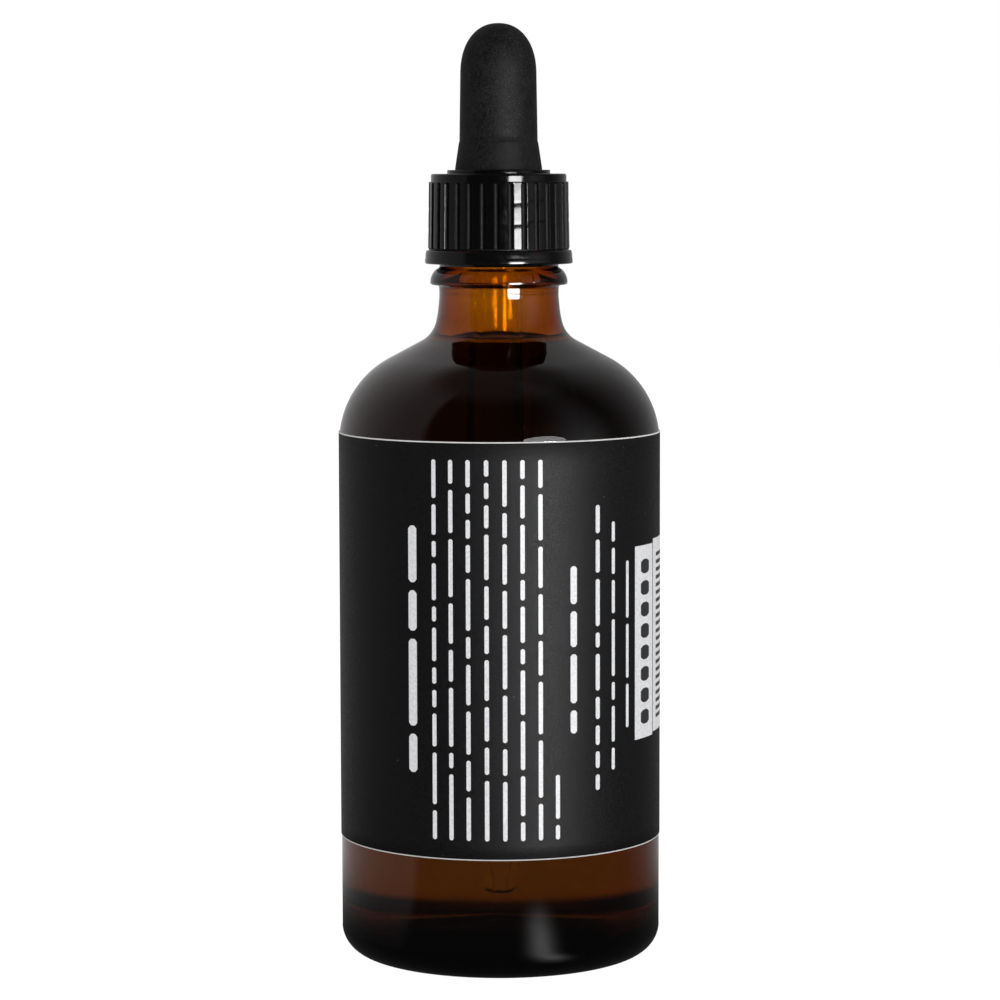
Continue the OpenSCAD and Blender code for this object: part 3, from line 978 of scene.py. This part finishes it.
bm = bmesh.new()
cap_rows = [cap_row(bm, cap_bore_r, cap_low, groove_half)]
for z in (cap_low, cap_low + cap_foot_h - 0.03):
    cap_rows.append(cap_row(bm, cap_foot_r, z, groove_half * 0.9))
ribs_first = len(cap_rows)
for i in range(rib_rows + 1):
    z = cap_low + cap_foot_h + (rib_top - cap_low - cap_foot_h) * i / rib_rows
    r = cap_r + (cap_rib_top_r - cap_r) * i / rib_rows
    over = z - (rib_top - groove_half)
    half = groove_half if over < 0 else sqrt(max(0.0, groove_half**2 - over**2))
    cap_rows.append(cap_row(bm, r, z, max(0.02, half), ribbed=True))
cap_upper = (
    [(cap_rib_top_r - 0.02, rib_top + 0.04), (band_r + 0.02, rib_top + 0.06), (band_r, rib_top + 0.08)]
    + [(band_r, rib_top + 0.2), (band_r, cap_top - band_edge - 0.05)]
    + arc((band_r - band_edge, cap_top - band_edge), band_edge, 0, 90, 6)
    + [(rim_r + 0.1, cap_top), (rim_r, cap_top + 0.08), (rim_r, rim_top - rim_edge)]
    + arc((rim_r - rim_edge, rim_top - rim_edge), rim_edge, 30, 90, 3)
    + [(hole_r + 0.08, rim_top), (hole_r, rim_top - 0.08), (hole_r, cap_roof), (cap_bore_r, cap_roof)]
)
for r, z in cap_upper:
    cap_rows.append(cap_row(bm, r, z, groove_half))
for i in range(1, bore_rows):
    z = cap_roof + (cap_low - cap_roof) * i / bore_rows
    cap_rows.append(cap_row(bm, cap_bore_r, z, groove_half, thread_h=cap_thread_h))

# The foot and the grooves, with the lands' rounded edges, get a rougher, darker copy of the plastic that
# shows little gloss: painted shade in these recesses and on these edges
per_land = len(groove_cols) + len(land_cols)
painted_shade_cols = len(groove_cols) + 3
for n, (low, high) in enumerate(zip(cap_rows, cap_rows[1:] + cap_rows[:1])):
    for j in range(len(low)):
        k = (j + 1) % len(low)
        face = bm.faces.new((low[j], low[k], high[k], high[j]))
        in_groove = j % per_land < painted_shade_cols or j % per_land == per_land - 1
        in_painted_shade = n < ribs_first or in_groove and n < ribs_first + rib_rows
        face.material_index = 1 if in_painted_shade else 0
cap = piece("ribbed_screw_cap", bm, black_plastic, "screw_cap", "cap", crease=40)
cap.data.materials.append(painted_shade_plastic)

# Rubber bulb
# Moulded in soft matte black rubber, with a flange that the cap presses on the bottle's lip. A
# faint step shows where the tapered foot passes into the barrel.
flange_r = 8.25
flange_edge = 0.15
foot_r = 6.3
foot_top = 118.30
barrel_r = 5.65
barrel_top_r = barrel_r - 0.15
barrel_top = 128.0
dome_h = 7.35
dome_squareness = 2.2
bulb_wall = 1.4
hollow_z = 117.85

black_rubber, tree = new_material("black_rubber")
spot = own_spot(tree)
bloom = ramp(tree, noise(tree, spot, 420.0, 5.0), 0.3, 0.7)
dust = node(tree, "ShaderNodeTexVoronoi", [("Vector", spot), ("Scale", 900.0)])
dust_share = ramp(tree, dust.outputs["Distance"], 0.10, 0.04, 0.0, 0.6)
rubber_tone = colours(tree, bloom, (0.0065, 0.0065, 0.0072, 1), (0.0105, 0.0105, 0.0118, 1))
dusty = colours(tree, dust_share, rubber_tone, (0.07, 0.07, 0.075, 1))
skin = noise(tree, spot, 3000.0, 3.0, 0.7)
opaque(
    tree,
    scaled(tree, dusty, ramp(tree, skin, 0.35, 0.65, 0.6, 1.6)),
    ramp(tree, skin, 0.35, 0.65, 0.52, 0.74),
    ("IOR", 1.5),
    ("Specular IOR Level", 0.14),
    ("Normal", bumps(tree, skin, 0.5, 0.05 * mm)),
)


def dome(r, h, z, steps=28):
    """The bulb's full round top, a little squarer than a ball, ending on the axis."""
    points = []
    power = 2 / dome_squareness
    for i in range(steps):
        t = pi / 2 * i / steps
        points.append((r * cos(t) ** power, z + h * sin(t) ** power))
    return points + [(0.0, z + h)]


bulb_outside = (
    [(pipette_r, lip_z), (flange_r - flange_edge, lip_z), (flange_r, lip_z + flange_edge)]
    + [(flange_r, cap_roof - flange_edge), (flange_r - flange_edge, cap_roof)]
    + [(foot_r + 0.1, cap_roof), (foot_r, cap_roof + 0.1), (foot_r, rim_top)]
    + line((foot_r - 0.02, rim_top + 0.3), (barrel_r + 0.08, foot_top), 0.6)
    + [(barrel_r + 0.08, foot_top - 0.05), (barrel_r + 0.06, foot_top + 0.03), (barrel_r, foot_top + 0.08)]
    + line((barrel_r - 0.01, foot_top + 1), (barrel_top_r, barrel_top), 1.2)
    + dome(barrel_top_r, dome_h, barrel_top)
)
hollow_r = barrel_top_r - bulb_wall
bulb_inside = [(pipette_r, hollow_z), (hollow_r, hollow_z)]
bulb_inside += dome(hollow_r, dome_h - bulb_wall, barrel_top, 12)
bm = bmesh.new()
turn(bm, bulb_inside[::-1] + bulb_outside, even_turn(128))
bulb = piece("rubber_dropper_bulb", bm, black_rubber, "rubber_bulb", "dropper", crease=50)

# Glass pipette
# A clear glass tube drawn down to a round tip with a small hole, fire polished at both ends and
# pushed up the socket in the bulb's foot.
pipette_top = 118.65
pipette_bore_r = 2.4
tip_bore_r = 0.7
tube_edge = 0.2
tube_index = 1.5

# The outside is wet where it is below the bottle's liquid, and the bore below its own column
clear_glass, tree = new_material("clear_glass")
draw_lines = bumps(tree, noise(tree, own_spot(tree), 300.0, 2.0), 0.02, 0.0003)
in_bore = node(tree, "ShaderNodeAttribute", attribute_name="touching").outputs["Fac"]
own_z = split(tree, own_spot(tree))[2]
true_z = split(tree, node(tree, "ShaderNodeNewGeometry").outputs["Position"])[2]
wet = sums(tree, "LESS_THAN", blend(tree, in_bore, true_z, own_z), fill_z * mm)
dry_tube = clear_surface(tree, tube_index, Normal=draw_lines)
wet_tube = clear_surface(tree, tube_index / bitters_index, Normal=draw_lines)
two_faced(tree, wet, dry_tube, wet_tube)


def pipette_inside(gap, low, top):
    """The pipette's bore from height low up to height top, narrower all round by gap."""
    return (
        [(tip_bore_r - gap, low), (tip_bore_r - gap, tip_z + tip_r)]
        + line((tip_bore_r - gap + 0.12, tip_z + tip_r + 0.8), (pipette_bore_r - gap, taper_top), 1.5)
        + [(pipette_bore_r - gap, z) for z in tube_levels if z < top - 2]
        + [(pipette_bore_r - gap, top)]
    )


tip_edge = [p for p in pipette_outside(0.0, pipette_top) if p[0] > tip_bore_r + 0.15]
tube_end = [(pipette_r, pipette_top - tube_edge), (pipette_r - tube_edge, pipette_top)]
tube_end += [(pipette_bore_r + tube_edge, pipette_top)]
tube_outline = tip_edge + tube_end + pipette_inside(0.0, tip_z + 0.45, pipette_top - tube_edge)[::-1]
bore_first = len(tip_edge) + len(tube_end)
bm = bmesh.new()
turn(bm, tube_outline, even_turn(96), closed=True, touches=lambda i: i >= bore_first)
pipette = piece("clear_glass_pipette", bm, clear_glass, "glass_pipette", "dropper")

# Bitters in the pipette
# The same liquid stands in the pipette, as high as it does in the bottle, and rises with it.
# Its surface is a deep bowl, because it creeps up the narrow bore.
bowl_h = 0.55
bowl_radii = (2.3, 2.1, 1.8, 1.4, 0.9, 0.4)
column = (
    [(0.0, tip_z + 0.12)]
    + pipette_inside(touch, tip_z + 0.3, fill_z)
    + [(r, fill_z - bowl_h + bowl_h * (r / pipette_bore_r) ** 4) for r in bowl_radii]
    + [(0.0, fill_z - bowl_h)]
)
bowl_first = len(column) - len(bowl_radii) - 2
bm = bmesh.new()
turn(bm, column, even_turn(72), touches=lambda i: i < bowl_first)
held_bitters = piece("bitters_in_pipette_tube", bm, bitters_liquid, "bitters_in_pipette", "dropper")
